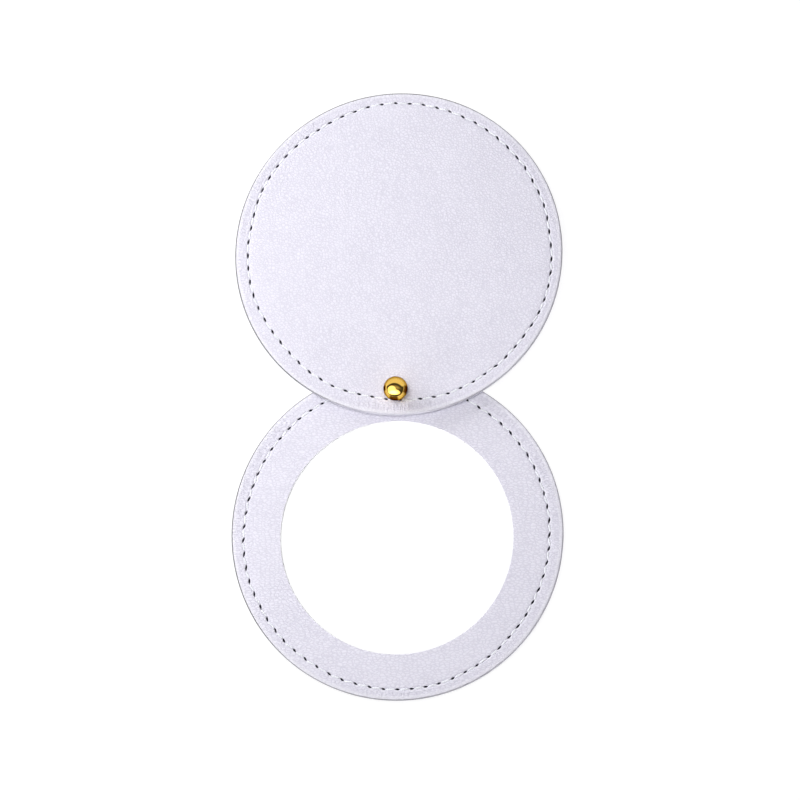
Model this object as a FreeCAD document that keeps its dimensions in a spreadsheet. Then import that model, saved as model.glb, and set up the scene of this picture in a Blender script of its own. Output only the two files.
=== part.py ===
import FreeCAD
import Part

import math
import os

import Sketcher

# A pocket mirror of two leather-covered discs that swivel on one ball-headed stud.
# The lower disc lies on its back and holds the round mirror; the upper disc is its cover,
# shown swung half a turn open. Millimetres, +Z up. The origin is on the stud's axis,
# in the plane of the lower disc's back.

SIZES = (
    ("disc_diameter", 82.0, "both halves, over their painted edges"),
    ("leather_thickness", 0.7, "every leather layer"),
    ("cover_board_thickness", 0.6, "stiffener inside the cover"),
    ("back_board_thickness", 0.5, "stiffener behind the mirror"),
    ("mirror_thickness", 1.1, "mirror glass"),
    ("tape_thickness", 0.1, "double-sided tape behind the glass"),
    ("halves_gap", 0.3, "running gap between the cover and the mirror half"),
    ("frame_width", 12.3, "disc edge to mirror window, if both had one centre"),
    ("window_drop", 1.05, "window centre set off from the disc centre, away from the stud"),
    ("mirror_overlap", 1.25, "glass hidden under the leather all round"),
    ("mirror_clearance", 0.15, "glass edge to its spacer"),
    ("mirror_bevel", 0.2, "ground edge of the glass"),
    ("tape_margin", 3.0, "glass edge to tape edge"),
    ("edge_coat_thickness", 0.2, "edge paint"),
    ("leather_edge_round", 0.3, "rounded outer edge of each leather"),
    ("seam_inset", 3.3, "disc edge to the line of stitching"),
    ("stitch_count", 69, "stitches in each seam"),
    ("thread_diameter", 0.4, "sewing thread"),
    ("thread_clearance", 0.1, "thread to the leather around it"),
    ("thread_proud", 0.06, "stitch above the leather on the sides that are seen"),
    ("thread_sunk", 0.02, "stitch below the leather on the back that is rested on"),
    ("strand_gap", 0.04, "between the two strands in a hole, and between needle and bobbin thread"),
    ("ball_diameter", 6.0, "stud's ball head"),
    ("neck_diameter", 3.0, "stud under its ball"),
    ("neck_height", 0.15, "foot to ball, where the neck shows"),
    ("foot_diameter", 4.5, "stud's foot, and the screw's head opposite it"),
    ("foot_thickness", 0.3, "stud's foot"),
    ("foot_to_seam", 0.15, "stud's foot to the stitch holes"),
    ("shank_diameter", 3.5, "stud through both halves"),
    ("pivot_clearance", 0.05, "shank to its holes, and foot to the cover"),
    ("shank_setback", 0.1, "end of the shank short of the screw's head"),
    ("screw_diameter", 2.0, "screw inside the shank"),
    ("screw_clearance", 0.05, "screw to its tapped hole"),
    ("screw_tip_gap", 0.3, "screw tip to the end of its hole"),
    ("head_recess", 0.05, "screw's head below the back"),
    ("head_clearance", 0.1, "screw's head to the side of its recess"),
    ("leather_under_head", 0.2, "back leather left under the screw's head"),
    ("slot_width", 0.6, "driver slot"),
    ("slot_depth_share", 0.5, "of the head's thickness"),
    ("cut_overrun", 1.0, "how far every cut runs past its piece"),
)

doc = FreeCAD.newDocument("compact_mirror")
sheet = doc.addObject("Spreadsheet::Sheet", "Sizes")
for row, (alias, number, note) in enumerate(SIZES, start=1):
    sheet.set(f"A{row}", alias)
    sheet.set(f"B{row}", str(number))
    sheet.setAlias(f"B{row}", alias)
    sheet.set(f"C{row}", note)
doc.recompute()

# Sizes worked out from the driving ones, as expressions that the features are bound to.
DISC_RADIUS = "(Sizes.disc_diameter / 2)"
LEATHER_RADIUS = f"({DISC_RADIUS} - Sizes.edge_coat_thickness)"
SEAM_RADIUS = f"({DISC_RADIUS} - Sizes.seam_inset)"
THREAD_RADIUS = "(Sizes.thread_diameter / 2)"
STRAND_OFFSET = f"({THREAD_RADIUS} + Sizes.strand_gap / 2)"
HOLE_HALF_WIDTH = f"({THREAD_RADIUS} + Sizes.thread_clearance)"
CHANNEL_SHOWN = "(Sizes.thread_diameter + Sizes.thread_clearance - Sizes.thread_proud)"
CHANNEL_SUNK = "(Sizes.thread_diameter + Sizes.thread_clearance + Sizes.thread_sunk)"
WINDOW_RADIUS = f"({DISC_RADIUS} - Sizes.frame_width)"
MIRROR_RADIUS = f"({WINDOW_RADIUS} + Sizes.mirror_overlap)"
SHANK_RADIUS = "(Sizes.shank_diameter / 2)"
PIVOT_HOLE_RADIUS = f"({SHANK_RADIUS} + Sizes.pivot_clearance)"
FOOT_RADIUS = "(Sizes.foot_diameter / 2)"
HEAD_SEAT = "(Sizes.leather_thickness - Sizes.leather_under_head)"

# The stud stands just inside the seam, where its foot clears the stitch holes.
PIVOT_RADIUS = f"({SEAM_RADIUS} - {HOLE_HALF_WIDTH} - Sizes.foot_to_seam - {FOOT_RADIUS})"

# Heights of the layers, from the back of the mirror half up to the face of the cover.
BACK_BOARD_Z = "Sizes.leather_thickness"
MIRROR_BED_Z = f"({BACK_BOARD_Z} + Sizes.back_board_thickness)"
SPACER_THICKNESS = "(Sizes.tape_thickness + Sizes.mirror_thickness)"
FRONT_LEATHER_Z = f"({MIRROR_BED_Z} + {SPACER_THICKNESS})"
MIRROR_HALF_TOP = f"({FRONT_LEATHER_Z} + Sizes.leather_thickness)"
COVER_BOTTOM = f"({MIRROR_HALF_TOP} + Sizes.halves_gap)"
COVER_BOARD_Z = f"({COVER_BOTTOM} + Sizes.leather_thickness)"
COVER_LEATHER_Z = f"({COVER_BOARD_Z} + Sizes.cover_board_thickness)"
COVER_TOP = f"({COVER_LEATHER_Z} + Sizes.leather_thickness)"
COVER_THICKNESS = f"({COVER_TOP} - {COVER_BOTTOM})"

# A layer is drawn with its outer face up and the stud on its +Y side, then turned into place.
FULL_TURN = 360
HALF_TURN = 180
UPRIGHT = FreeCAD.Rotation()
MIRROR_FACE_DOWN = FreeCAD.Rotation(FreeCAD.Vector(0, 1, 0), HALF_TURN)
COVER_FACE_UP = FreeCAD.Rotation(FreeCAD.Vector(0, 0, 1), HALF_TURN)
COVER_FACE_DOWN = FreeCAD.Rotation(FreeCAD.Vector(1, 0, 0), HALF_TURN)
MIRROR_CENTRE_Y = f"-{PIVOT_RADIUS}"
WINDOW_CENTRE_Y = f"-({PIVOT_RADIUS} + Sizes.window_drop)"
COVER_CENTRE_Y = PIVOT_RADIUS
AT_ORIGIN = None

# How a sketch numbers its own origin and axes, and the points of a line or an arc.
SKETCH_ORIGIN = (-1, 1)
X_AXIS_LINE = -1
Y_AXIS_LINE = -2
START = 1
END = 2
CENTRE = 3

sub_parts = []


def value(expression):
    """The number that an expression on the sheet comes to; None stands for zero."""
    return float(sheet.evalExpression(expression)) if expression else 0.0


def flat(x, y):
    return FreeCAD.Vector(x, y, 0)


def circle_at(centre, radius):
    return Part.Circle(centre, FreeCAD.Vector(0, 0, 1), radius)


def place(sub_part, y, z, rotation=UPRIGHT):
    """Turns a finished sub-part, binds its place to the sheet and lists it for export."""
    sub_part.Placement = FreeCAD.Placement(FreeCAD.Vector(), rotation)
    if y:
        sub_part.setExpression("Placement.Base.y", y)
    if z:
        sub_part.setExpression("Placement.Base.z", z)
    sub_parts.append(sub_part)


def new_body(label):
    body = doc.addObject("PartDesign::Body", label)
    body.Label = label
    return body


def origin_feature(body, role):
    return next(feature for feature in body.Origin.OriginFeatures if feature.Role == role)


def new_sketch(body, name, plane="XY_Plane", height=None):
    sketch = body.newObject("Sketcher::SketchObject", f"{body.Label}_{name}")
    sketch.AttachmentSupport = [(origin_feature(body, plane), "")]
    sketch.MapMode = "FlatFace"
    if height:
        sketch.setExpression("AttachmentOffset.Base.z", height)
    return sketch


def join(sketch, kind, first, second):
    """Ties the end of one edge to the start of the next."""
    sketch.addConstraint(Sketcher.Constraint(kind, first, END, second, START))


def bind(sketch, expression, kind, *places):
    """Adds a dimension to a sketch and ties it to the sheet."""
    index = sketch.addConstraint(Sketcher.Constraint(kind, *places, value(expression)))
    sketch.setExpression(f"Constraints[{index}]", expression)


def bind_point(sketch, geometry, vertex, x=None, y=None):
    """Sets a point's distances from the sketch's axes; one left out keeps the point on that axis."""
    for kind, axis_line, expression in (("DistanceX", Y_AXIS_LINE, x), ("DistanceY", X_AXIS_LINE, y)):
        if expression:
            bind(sketch, expression, kind, *SKETCH_ORIGIN, geometry, vertex)
        else:
            sketch.addConstraint(Sketcher.Constraint("PointOnObject", geometry, vertex, axis_line))


def draw_circle(sketch, radius, y=None):
    """A circle centred on the sketch's Y axis."""
    circle = sketch.addGeometry(circle_at(flat(0, value(y)), value(radius)))
    bind_point(sketch, circle, CENTRE, y=y)
    bind(sketch, radius, "Radius", circle)


def draw_lines(sketch, points, closed=True):
    """Straight edges through points that are pairs of expressions, with None for zero."""
    spots = [flat(value(x), value(y)) for x, y in points]
    following = spots[1:] + spots[:1] if closed else spots[1:]
    lines = [sketch.addGeometry(Part.LineSegment(a, b)) for a, b in zip(spots, following)]
    for line, successor in zip(lines, lines[1:]):
        join(sketch, "Coincident", line, successor)
    for line, (x, y) in zip(lines, points):
        bind_point(sketch, line, START, x, y)
    if closed:
        join(sketch, "Coincident", lines[-1], lines[0])
    else:
        bind_point(sketch, lines[-1], END, *points[-1])
    return lines


def pad(body, sketch, length):
    feature = body.newObject("PartDesign::Pad", f"{body.Label}_pad")
    feature.Profile = sketch
    feature.setExpression("Length", length)
    return feature


def pocket(body, sketch, name, depth):
    """Cuts a sketch's outline down into the piece, against the sketch's normal."""
    feature = body.newObject("PartDesign::Pocket", f"{body.Label}_{name}")
    feature.Profile = sketch
    feature.setExpression("Length", depth)
    return feature


def turn(body, sketch, kind="PartDesign::Revolution"):
    """Revolves a section, drawn on the XZ plane, about the body's Z axis."""
    feature = body.newObject(kind, f"{sketch.Label}_turned")
    feature.Profile = sketch
    feature.ReferenceAxis = (sketch, ["V_Axis"])
    feature.Angle = FULL_TURN
    return feature


def circle_edges(feature, radius, height):
    """Names of a feature's circular edges of one radius at one height."""
    doc.recompute()
    found = []
    for index, edge in enumerate(feature.Shape.Edges, start=1):
        curve = edge.Curve
        if not isinstance(curve, Part.Circle):
            continue
        same_height = math.isclose(curve.Center.z, value(height))
        if same_height and math.isclose(curve.Radius, value(radius)):
            found.append(f"Edge{index}")
    return found


def cut_stitch_holes(body, thickness):
    """A ring of slots through a layer, each for two strands, one slot straight across from the stud."""
    sketch = new_sketch(body, "stitch_hole", height=thickness)
    radius = value(HOLE_HALF_WIDTH)
    right = flat(value(STRAND_OFFSET), -value(SEAM_RADIUS))
    left = flat(-value(STRAND_OFFSET), -value(SEAM_RADIUS))
    up = flat(0, radius)
    quarter = math.pi / 2
    edges = [
        Part.ArcOfCircle(circle_at(right, radius), -quarter, quarter),
        Part.LineSegment(right + up, left + up),
        Part.ArcOfCircle(circle_at(left, radius), quarter, 3 * quarter),
        Part.LineSegment(left - up, right - up),
    ]
    right_end, top, left_end, bottom = [sketch.addGeometry(edge) for edge in edges]
    for edge, successor in ((right_end, top), (top, left_end), (left_end, bottom), (bottom, right_end)):
        join(sketch, "Tangent", edge, successor)
    sketch.addConstraint(Sketcher.Constraint("Equal", right_end, left_end))
    bind_point(sketch, right_end, CENTRE, STRAND_OFFSET, f"-{SEAM_RADIUS}")
    bind_point(sketch, left_end, CENTRE, f"-{STRAND_OFFSET}", f"-{SEAM_RADIUS}")
    bind(sketch, HOLE_HALF_WIDTH, "Radius", right_end)
    hole = pocket(body, sketch, "first_hole", f"{thickness} + Sizes.cut_overrun")
    pattern = body.newObject("PartDesign::PolarPattern", f"{body.Label}_stitch_holes")
    pattern.Originals = [hole]
    pattern.Axis = (origin_feature(body, "Z_Axis"), [""])
    pattern.Angle = FULL_TURN
    pattern.setExpression("Occurrences", "Sizes.stitch_count")
    body.Tip = pattern


def layer_outline(body, thickness, window=None):
    """A disc of the halves' size with its stud hole, and a round window if it has one."""
    outline = new_sketch(body, "outline")
    draw_circle(outline, LEATHER_RADIUS)
    draw_circle(outline, PIVOT_HOLE_RADIUS, PIVOT_RADIUS)
    if window:
        draw_circle(outline, window, "-Sizes.window_drop")
    return pad(body, outline, thickness)


def leather_layer(label, channel_depth, window=None):
    """One sewn leather disc, with a rounded edge and a channel for the stitches in its outer face."""
    body = new_body(label)
    thickness = "Sizes.leather_thickness"
    disc = layer_outline(body, thickness, window)
    edge_round = body.newObject("PartDesign::Fillet", f"{label}_edge_round")
    edge_round.Base = (disc, circle_edges(disc, LEATHER_RADIUS, thickness))
    edge_round.setExpression("Radius", "Sizes.leather_edge_round")
    section = new_sketch(body, "channel", "XZ_Plane")
    inner = f"({SEAM_RADIUS} - {HOLE_HALF_WIDTH})"
    outer = f"({SEAM_RADIUS} + {HOLE_HALF_WIDTH})"
    floor = f"({thickness} - {channel_depth})"
    above = f"({thickness} + Sizes.cut_overrun)"
    draw_lines(section, ((inner, floor), (outer, floor), (outer, above), (inner, above)))
    turn(body, section, "PartDesign::Groove")
    cut_stitch_holes(body, thickness)
    return body


def board_layer(label, thickness, window=None):
    """One board disc, pierced by the same stitches."""
    body = new_body(label)
    layer_outline(body, thickness, window)
    cut_stitch_holes(body, thickness)
    return body


def edge_coat(label, thickness):
    """Paint on the cut edge of one half: a strip that thins to nothing over its rounded edges."""
    body = new_body(label)
    section = new_sketch(body, "section", "XZ_Plane")
    coat = "Sizes.edge_coat_thickness"
    low = "Sizes.leather_edge_round"
    high = f"({thickness} - Sizes.leather_edge_round)"
    full_low = f"({low} + {coat})"
    full_high = f"({high} - {coat})"
    back = draw_lines(section, ((LEATHER_RADIUS, high), (LEATHER_RADIUS, low)), closed=False)[0]
    wall = draw_lines(section, ((DISC_RADIUS, full_low), (DISC_RADIUS, full_high)), closed=False)[0]
    quarter = math.pi / 2
    lower_circle = circle_at(flat(value(LEATHER_RADIUS), value(full_low)), value(coat))
    upper_circle = circle_at(flat(value(LEATHER_RADIUS), value(full_high)), value(coat))
    lower_edge = section.addGeometry(Part.ArcOfCircle(lower_circle, -quarter, 0))
    upper_edge = section.addGeometry(Part.ArcOfCircle(upper_circle, 0, quarter))
    join(section, "Coincident", back, lower_edge)
    join(section, "Tangent", lower_edge, wall)
    join(section, "Tangent", wall, upper_edge)
    join(section, "Coincident", upper_edge, back)
    turn(body, section)
    return body


def quarter_arc(centre, radius, start, finish):
    """A quarter circle about a point, from one direction round to another."""
    halfway = (start + finish).normalize()
    return Part.Arc(centre + start * radius, centre + halfway * radius, centre + finish * radius).toShape()


def straight(start, finish):
    return Part.LineSegment(start, finish).toShape()


def stitch_path(face_run, lowest):
    """Centre line of one stitch: up out of one hole, along the face and down into the next."""
    bend = value(STRAND_OFFSET)
    up = FreeCAD.Vector(0, 0, 1)
    to_next = FreeCAD.Rotation(up, FULL_TURN / value("Sizes.stitch_count"))
    way = FreeCAD.Vector(1, 0, 0)
    next_way = to_next.multVec(way)
    hole = FreeCAD.Vector(0, -value(SEAM_RADIUS), lowest + bend)
    next_hole = to_next.multVec(hole)
    leg = up * (face_run - bend - hole.z)
    rise = hole + way * bend
    fall = next_hole - next_way * bend
    run_way = (fall - rise).normalize()
    run_start = rise + leg + run_way * bend
    run_end = fall + leg - run_way * bend
    return Part.Wire([
        quarter_arc(hole, bend, -up, way),
        straight(rise, rise + leg),
        quarter_arc(run_start, bend, -run_way, up),
        straight(run_start + up * bend, run_end + up * bend),
        quarter_arc(run_end, bend, up, run_way),
        straight(fall + leg, fall),
        quarter_arc(next_hole, bend, -next_way, -up),
    ])


def thread_ring(label, half_thickness, stands_out):
    """One sewing thread all round a seam, on one side of the middle of the layers."""
    thread_radius = value(THREAD_RADIUS)
    face_run = value(half_thickness) + value(stands_out) - thread_radius
    lowest = thread_radius + value("Sizes.strand_gap") / 2
    path = stitch_path(face_run, lowest)
    first_edge = path.Edges[0]
    start = first_edge.valueAt(first_edge.FirstParameter)
    way = first_edge.tangentAt(first_edge.FirstParameter)
    section = Part.Wire(Part.Circle(start, way, thread_radius).toShape())
    stitch = path.makePipeShell([section], False, False)
    count = round(value("Sizes.stitch_count"))
    faces = []
    for number in range(count):
        turned_stitch = stitch.copy()
        turned_stitch.rotate(FreeCAD.Vector(), FreeCAD.Vector(0, 0, 1), number * FULL_TURN / count)
        faces.extend(turned_stitch.Faces)
    skin = Part.makeShell(faces)
    skin.sewShape()
    thread = doc.addObject("Part::Feature", label)
    thread.Label = label
    thread.Shape = Part.makeSolid(skin)
    return thread


# Mirror half, from its back up.
back_leather = leather_layer("back_leather", CHANNEL_SUNK)
head_recess = new_sketch(back_leather, "head_recess", height="Sizes.leather_thickness")
draw_circle(head_recess, f"({FOOT_RADIUS} + Sizes.head_clearance)", PIVOT_RADIUS)
pocket(back_leather, head_recess, "recess", HEAD_SEAT)
place(back_leather, MIRROR_CENTRE_Y, BACK_BOARD_Z, MIRROR_FACE_DOWN)

back_board = board_layer("back_board", "Sizes.back_board_thickness")
place(back_board, MIRROR_CENTRE_Y, BACK_BOARD_Z)

mirror_tape = doc.addObject("Part::Cylinder", "mirror_tape")
mirror_tape.setExpression("Radius", f"{MIRROR_RADIUS} - Sizes.tape_margin")
mirror_tape.setExpression("Height", "Sizes.tape_thickness")
place(mirror_tape, WINDOW_CENTRE_Y, MIRROR_BED_Z)

mirror_glass = new_body("mirror_glass")
glass_outline = new_sketch(mirror_glass, "outline")
draw_circle(glass_outline, MIRROR_RADIUS)
glass_disc = pad(mirror_glass, glass_outline, "Sizes.mirror_thickness")
ground_edge = mirror_glass.newObject("PartDesign::Chamfer", "mirror_glass_ground_edge")
ground_edge.Base = (glass_disc, circle_edges(glass_disc, MIRROR_RADIUS, "Sizes.mirror_thickness"))
ground_edge.setExpression("Size", "Sizes.mirror_bevel")
place(mirror_glass, WINDOW_CENTRE_Y, f"{MIRROR_BED_Z} + Sizes.tape_thickness")

mirror_seat = f"({MIRROR_RADIUS} + Sizes.mirror_clearance)"
mirror_spacer_ring = board_layer("mirror_spacer_ring", SPACER_THICKNESS, mirror_seat)
place(mirror_spacer_ring, MIRROR_CENTRE_Y, MIRROR_BED_Z)

front_leather_ring = leather_layer("front_leather_ring", CHANNEL_SHOWN, WINDOW_RADIUS)
place(front_leather_ring, MIRROR_CENTRE_Y, FRONT_LEATHER_Z)

mirror_edge_coat = edge_coat("mirror_edge_coat", MIRROR_HALF_TOP)
place(mirror_edge_coat, MIRROR_CENTRE_Y, AT_ORIGIN)

mirror_middle = f"({MIRROR_HALF_TOP} / 2)"
mirror_needle_thread = thread_ring("mirror_needle_thread", mirror_middle, "Sizes.thread_proud")
place(mirror_needle_thread, MIRROR_CENTRE_Y, mirror_middle)

mirror_bobbin_thread = thread_ring("mirror_bobbin_thread", mirror_middle, "-Sizes.thread_sunk")
place(mirror_bobbin_thread, MIRROR_CENTRE_Y, mirror_middle, MIRROR_FACE_DOWN)

# Cover, from its lining up.
cover_lining_leather = leather_layer("cover_lining_leather", CHANNEL_SHOWN)
place(cover_lining_leather, COVER_CENTRE_Y, COVER_BOARD_Z, COVER_FACE_DOWN)

cover_board = board_layer("cover_board", "Sizes.cover_board_thickness")
place(cover_board, COVER_CENTRE_Y, COVER_BOARD_Z, COVER_FACE_UP)

cover_face_leather = leather_layer("cover_face_leather", CHANNEL_SHOWN)
place(cover_face_leather, COVER_CENTRE_Y, COVER_LEATHER_Z, COVER_FACE_UP)

cover_edge_coat = edge_coat("cover_edge_coat", COVER_THICKNESS)
place(cover_edge_coat, COVER_CENTRE_Y, COVER_BOTTOM)

cover_half_thickness = f"({COVER_THICKNESS} / 2)"
cover_middle = f"({COVER_BOTTOM} + {cover_half_thickness})"
cover_needle_thread = thread_ring("cover_needle_thread", cover_half_thickness, "Sizes.thread_proud")
place(cover_needle_thread, COVER_CENTRE_Y, cover_middle, COVER_FACE_UP)

cover_bobbin_thread = thread_ring("cover_bobbin_thread", cover_half_thickness, "Sizes.thread_proud")
place(cover_bobbin_thread, COVER_CENTRE_Y, cover_middle, COVER_FACE_DOWN)

# Ball stud: ball, neck, foot and tapped shank turned in one piece, standing on the cover.
ball_stud = new_body("ball_stud")
stud_section = new_sketch(ball_stud, "section", "XZ_Plane")
bore_radius = "(Sizes.screw_diameter / 2 + Sizes.screw_clearance)"
neck_radius = "(Sizes.neck_diameter / 2)"
ball_radius = "(Sizes.ball_diameter / 2)"
shank_end = f"({HEAD_SEAT} + Sizes.shank_setback)"
foot_bottom = f"({COVER_TOP} + Sizes.pivot_clearance)"
foot_top = f"({foot_bottom} + Sizes.foot_thickness)"
ball_foot = f"({foot_top} + Sizes.neck_height)"
ball_centre = f"({ball_foot} + sqrt({ball_radius} ^ 2 - {neck_radius} ^ 2))"
ball_top = f"({ball_centre} + {ball_radius})"
stud_lines = draw_lines(stud_section, (
    (None, ball_top),
    (None, foot_bottom),
    (bore_radius, foot_bottom),
    (bore_radius, shank_end),
    (SHANK_RADIUS, shank_end),
    (SHANK_RADIUS, foot_bottom),
    (FOOT_RADIUS, foot_bottom),
    (FOOT_RADIUS, foot_top),
    (neck_radius, foot_top),
    (neck_radius, ball_foot),
), closed=False)
neck_angle = -math.acos(value(neck_radius) / value(ball_radius))
ball_circle = circle_at(flat(0, value(ball_centre)), value(ball_radius))
ball_arc = stud_section.addGeometry(Part.ArcOfCircle(ball_circle, neck_angle, math.pi / 2))
join(stud_section, "Coincident", stud_lines[-1], ball_arc)
join(stud_section, "Coincident", ball_arc, stud_lines[0])
bind(stud_section, ball_radius, "Radius", ball_arc)
turn(ball_stud, stud_section)
place(ball_stud, AT_ORIGIN, AT_ORIGIN)

# Flat-headed screw, driven up into the shank from the back.
stud_screw = new_body("stud_screw")
screw_section = new_sketch(stud_screw, "section", "XZ_Plane")
screw_radius = "(Sizes.screw_diameter / 2)"
screw_tip = f"({foot_bottom} - Sizes.screw_tip_gap)"
draw_lines(screw_section, (
    (None, "Sizes.head_recess"),
    (FOOT_RADIUS, "Sizes.head_recess"),
    (FOOT_RADIUS, HEAD_SEAT),
    (screw_radius, HEAD_SEAT),
    (screw_radius, screw_tip),
    (None, screw_tip),
))
turn(stud_screw, screw_section)
slot_depth = f"(({HEAD_SEAT} - Sizes.head_recess) * Sizes.slot_depth_share)"
slot_outline = new_sketch(stud_screw, "slot", height=f"Sizes.head_recess + {slot_depth}")
slot_reach = f"({FOOT_RADIUS} + Sizes.cut_overrun)"
slot_half_width = "(Sizes.slot_width / 2)"
draw_lines(slot_outline, (
    (f"-{slot_reach}", f"-{slot_half_width}"),
    (slot_reach, f"-{slot_half_width}"),
    (slot_reach, slot_half_width),
    (f"-{slot_reach}", slot_half_width),
))
pocket(stud_screw, slot_outline, "driver_slot", f"{slot_depth} + Sizes.cut_overrun")
place(stud_screw, AT_ORIGIN, AT_ORIGIN)

doc.recompute()
for item in doc.Objects:
    if "Invalid" in item.State or "Error" in item.State:
        raise RuntimeError(f"{item.Label} failed to build")
for sub_part in sub_parts:
    if sub_part.Shape.isNull() or not sub_part.Shape.isValid():
        raise RuntimeError(f"{sub_part.Label} has no valid shape")

os.makedirs("parts", exist_ok=True)
for sub_part in sub_parts:
    sub_part.Shape.exportStep(f"parts/{sub_part.Label}.step")
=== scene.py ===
import math

import bpy
import numpy as np
from mathutils import Matrix, Vector


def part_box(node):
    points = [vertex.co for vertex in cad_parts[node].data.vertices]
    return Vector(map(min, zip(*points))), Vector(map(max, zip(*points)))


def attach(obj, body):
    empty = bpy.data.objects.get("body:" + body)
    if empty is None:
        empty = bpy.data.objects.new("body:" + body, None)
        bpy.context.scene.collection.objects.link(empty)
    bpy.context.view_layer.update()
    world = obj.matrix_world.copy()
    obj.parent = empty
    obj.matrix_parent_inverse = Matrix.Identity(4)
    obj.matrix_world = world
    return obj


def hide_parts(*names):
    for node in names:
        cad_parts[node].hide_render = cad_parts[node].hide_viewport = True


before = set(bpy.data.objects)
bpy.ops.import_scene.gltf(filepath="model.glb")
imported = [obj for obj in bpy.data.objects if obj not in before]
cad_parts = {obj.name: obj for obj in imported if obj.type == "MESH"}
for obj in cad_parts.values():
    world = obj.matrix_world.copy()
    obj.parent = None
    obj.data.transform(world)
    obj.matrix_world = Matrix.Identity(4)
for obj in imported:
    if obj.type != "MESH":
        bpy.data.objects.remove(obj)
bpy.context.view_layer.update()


# Seams: each half is sewn round its rim by machine, one hole to a stitch, guided by eye.
# The line of holes wanders, and every hole is a short slit that slants across it, more or less.
# Meshes are laid out in millimetres; node trees, lamps and the camera are in metres.
MM = 0.001
STITCHES = 69
SLIT_HALF_LENGTH = 0.66
ANGLE_WANDER, RADIUS_WANDER, SLANT_WANDER = 0.09, 0.05, 3.5


def round_the_rim(angles, knots, radii):
    """Seam radius at each angle, eased smoothly between guide marks given in degrees."""
    knots = np.radians(list(knots) + [knots[0] + 360])
    radii = np.array(list(radii) + [radii[0]])
    wrapped = np.mod(angles - knots[0], 2 * math.pi) + knots[0]
    after = np.clip(np.searchsorted(knots, wrapped, side="right"), 1, len(knots) - 1)
    share = (wrapped - knots[after - 1]) / (knots[after] - knots[after - 1])
    eased = share * share * (3 - 2 * share)
    return radii[after - 1] * (1 - eased) + radii[after] * eased


def seam(numbers, degrees, knots, radii, slant_knots, slants, seed):
    """Places of one half's stitch holes about the disc's centre, millimetres and radians.

    The holes called numbers lie at degrees round the rim. The line is at radii where it passes
    knots, and the slits lean by slants at slant_knots, all of these in degrees."""
    rng = np.random.default_rng(seed)
    angles = np.radians(np.interp(np.arange(STITCHES), numbers, degrees))
    angles += np.radians(rng.normal(0, ANGLE_WANDER, STITCHES))
    slant = np.interp(np.degrees(angles), slant_knots, slants, period=360)
    longer_at_sides = 0.98 + 0.155 * np.cos(2 * angles)
    return {
        "angles": angles,
        "radii": round_the_rim(angles, knots, radii) + rng.normal(0, RADIUS_WANDER, STITCHES),
        "slants": np.radians(slant + rng.normal(0, SLANT_WANDER, STITCHES)),
        "lengths": SLIT_HALF_LENGTH * longer_at_sides * rng.uniform(0.9, 1.1, STITCHES),
        "depths": rng.uniform(0.8, 1.0, STITCHES),
    }


mirror_seam = seam(
    numbers=(0, 12, 24, 30, 36, 48, 60, 69),
    degrees=(-0.84, 62.3, 125.5, 156.9, 187.9, 250.05, 312.1, 359.16),
    knots=(0, 30, 57, 90, 120, 170, 190, 230, 282, 305, 338),
    radii=(37.6, 37.45, 37.15, 37.7, 37.35, 37.65, 38.15, 38.1, 38.35, 37.9, 37.55),
    slant_knots=(15, 45, 90, 135, 165, 195, 225, 255, 285, 315, 345),
    slants=(15, 14, 9, 5, 15, 17, 17, 18, -4, 1, 11),
    seed=11)
cover_seam = seam(
    numbers=(0, 12, 24, 30, 36, 42, 50, 51, 53, 58, 63, 69),
    degrees=(1.98, 64.95, 128.0, 159.5, 191.0, 223.3, 266.0, 271.2, 279.1, 305.1, 330.75, 361.98),
    knots=(5, 45, 92, 122, 152, 168, 190, 219, 246, 258, 270, 290, 318, 341),
    radii=(38.25, 38.15, 38.3, 37.7, 38.05, 37.65, 37.75, 36.9, 37.2, 36.95, 37.25, 37.9, 37.9,
           38.55),
    slant_knots=(15, 45, 75, 105, 135, 165, 195, 225, 255, 285, 315, 345),
    slants=(10, 11, 12, -1, 4, 2, 8, 16, 3, 7, 1, 4),
    seed=23)
# The cover's seam begins and ends beside the stud, where one hole is sewn over twice.
SEWN_OVER, SEWN_OVER_DEPTH = 52, 0.12
cover_seam["depths"][SEWN_OVER] = SEWN_OVER_DEPTH


# Leather discs: four round pieces of pale lilac leather with a fine pebbled grain, glued to their
# boards, rolled over at the rim and pulled down along the seam. Each has a round hole for the stud.
COLUMN_SHARES = np.array((0, 0.035, 0.07, 0.105, 0.14, 0.175, 0.23, 0.35,
                          0.5, 0.65, 0.77, 0.825, 0.86, 0.895, 0.93, 0.965))
COLUMNS = STITCHES * len(COLUMN_SHARES)
CORE_RADIUS = 32.6
CORE_RINGS = ((4, 69), (9, 69), (14, 138), (19, 138), (23.5, 276), (27, 276), (30, 552))
TO_SEAM_SHARES = (0, 0.1, 0.2, 0.3, 0.4, 0.5, 0.6, 0.7, 0.8, 0.9)
SEAM_OFFSETS = (-0.7, -0.55, -0.43, -0.33, -0.25, -0.18, -0.12, -0.06, 0,
                0.06, 0.12, 0.18, 0.25, 0.33, 0.43, 0.55, 0.7)
TO_RIM_SHARES = (0.3, 0.65, 1)
RIM_SHARES = (0.15, 0.3, 0.45, 0.55, 0.66, 0.76, 0.84, 0.9, 0.95, 0.985, 1)
RIM_ROLL_START, RIM_ROLL_DROP = 39.7, 0.09
WINDOW_SHARES = (0, 0.001, 0.003, 0.006, 0.009, 0.012, 0.03, 0.06, 0.12,
                 0.2, 0.3, 0.4, 0.5, 0.6, 0.7, 0.8, 0.89, 0.95)
WINDOW_ROLL_SHARE, WINDOW_ROLL_DROP = 0.012, 0.08
SLIT_HALF_WIDTH, SLIT_DEPTH = 0.25, 0.58
PRESS_DEPTH, SUNK_PRESS_DEPTH = 0.14, 0.26
LIP_HEIGHT, BULGE_HEIGHT, DISH_DEPTH = 0.035, 0.035, 0.045
GROOVE_WIDTH, DISH_WIDTH = 0.31, 0.95
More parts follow.
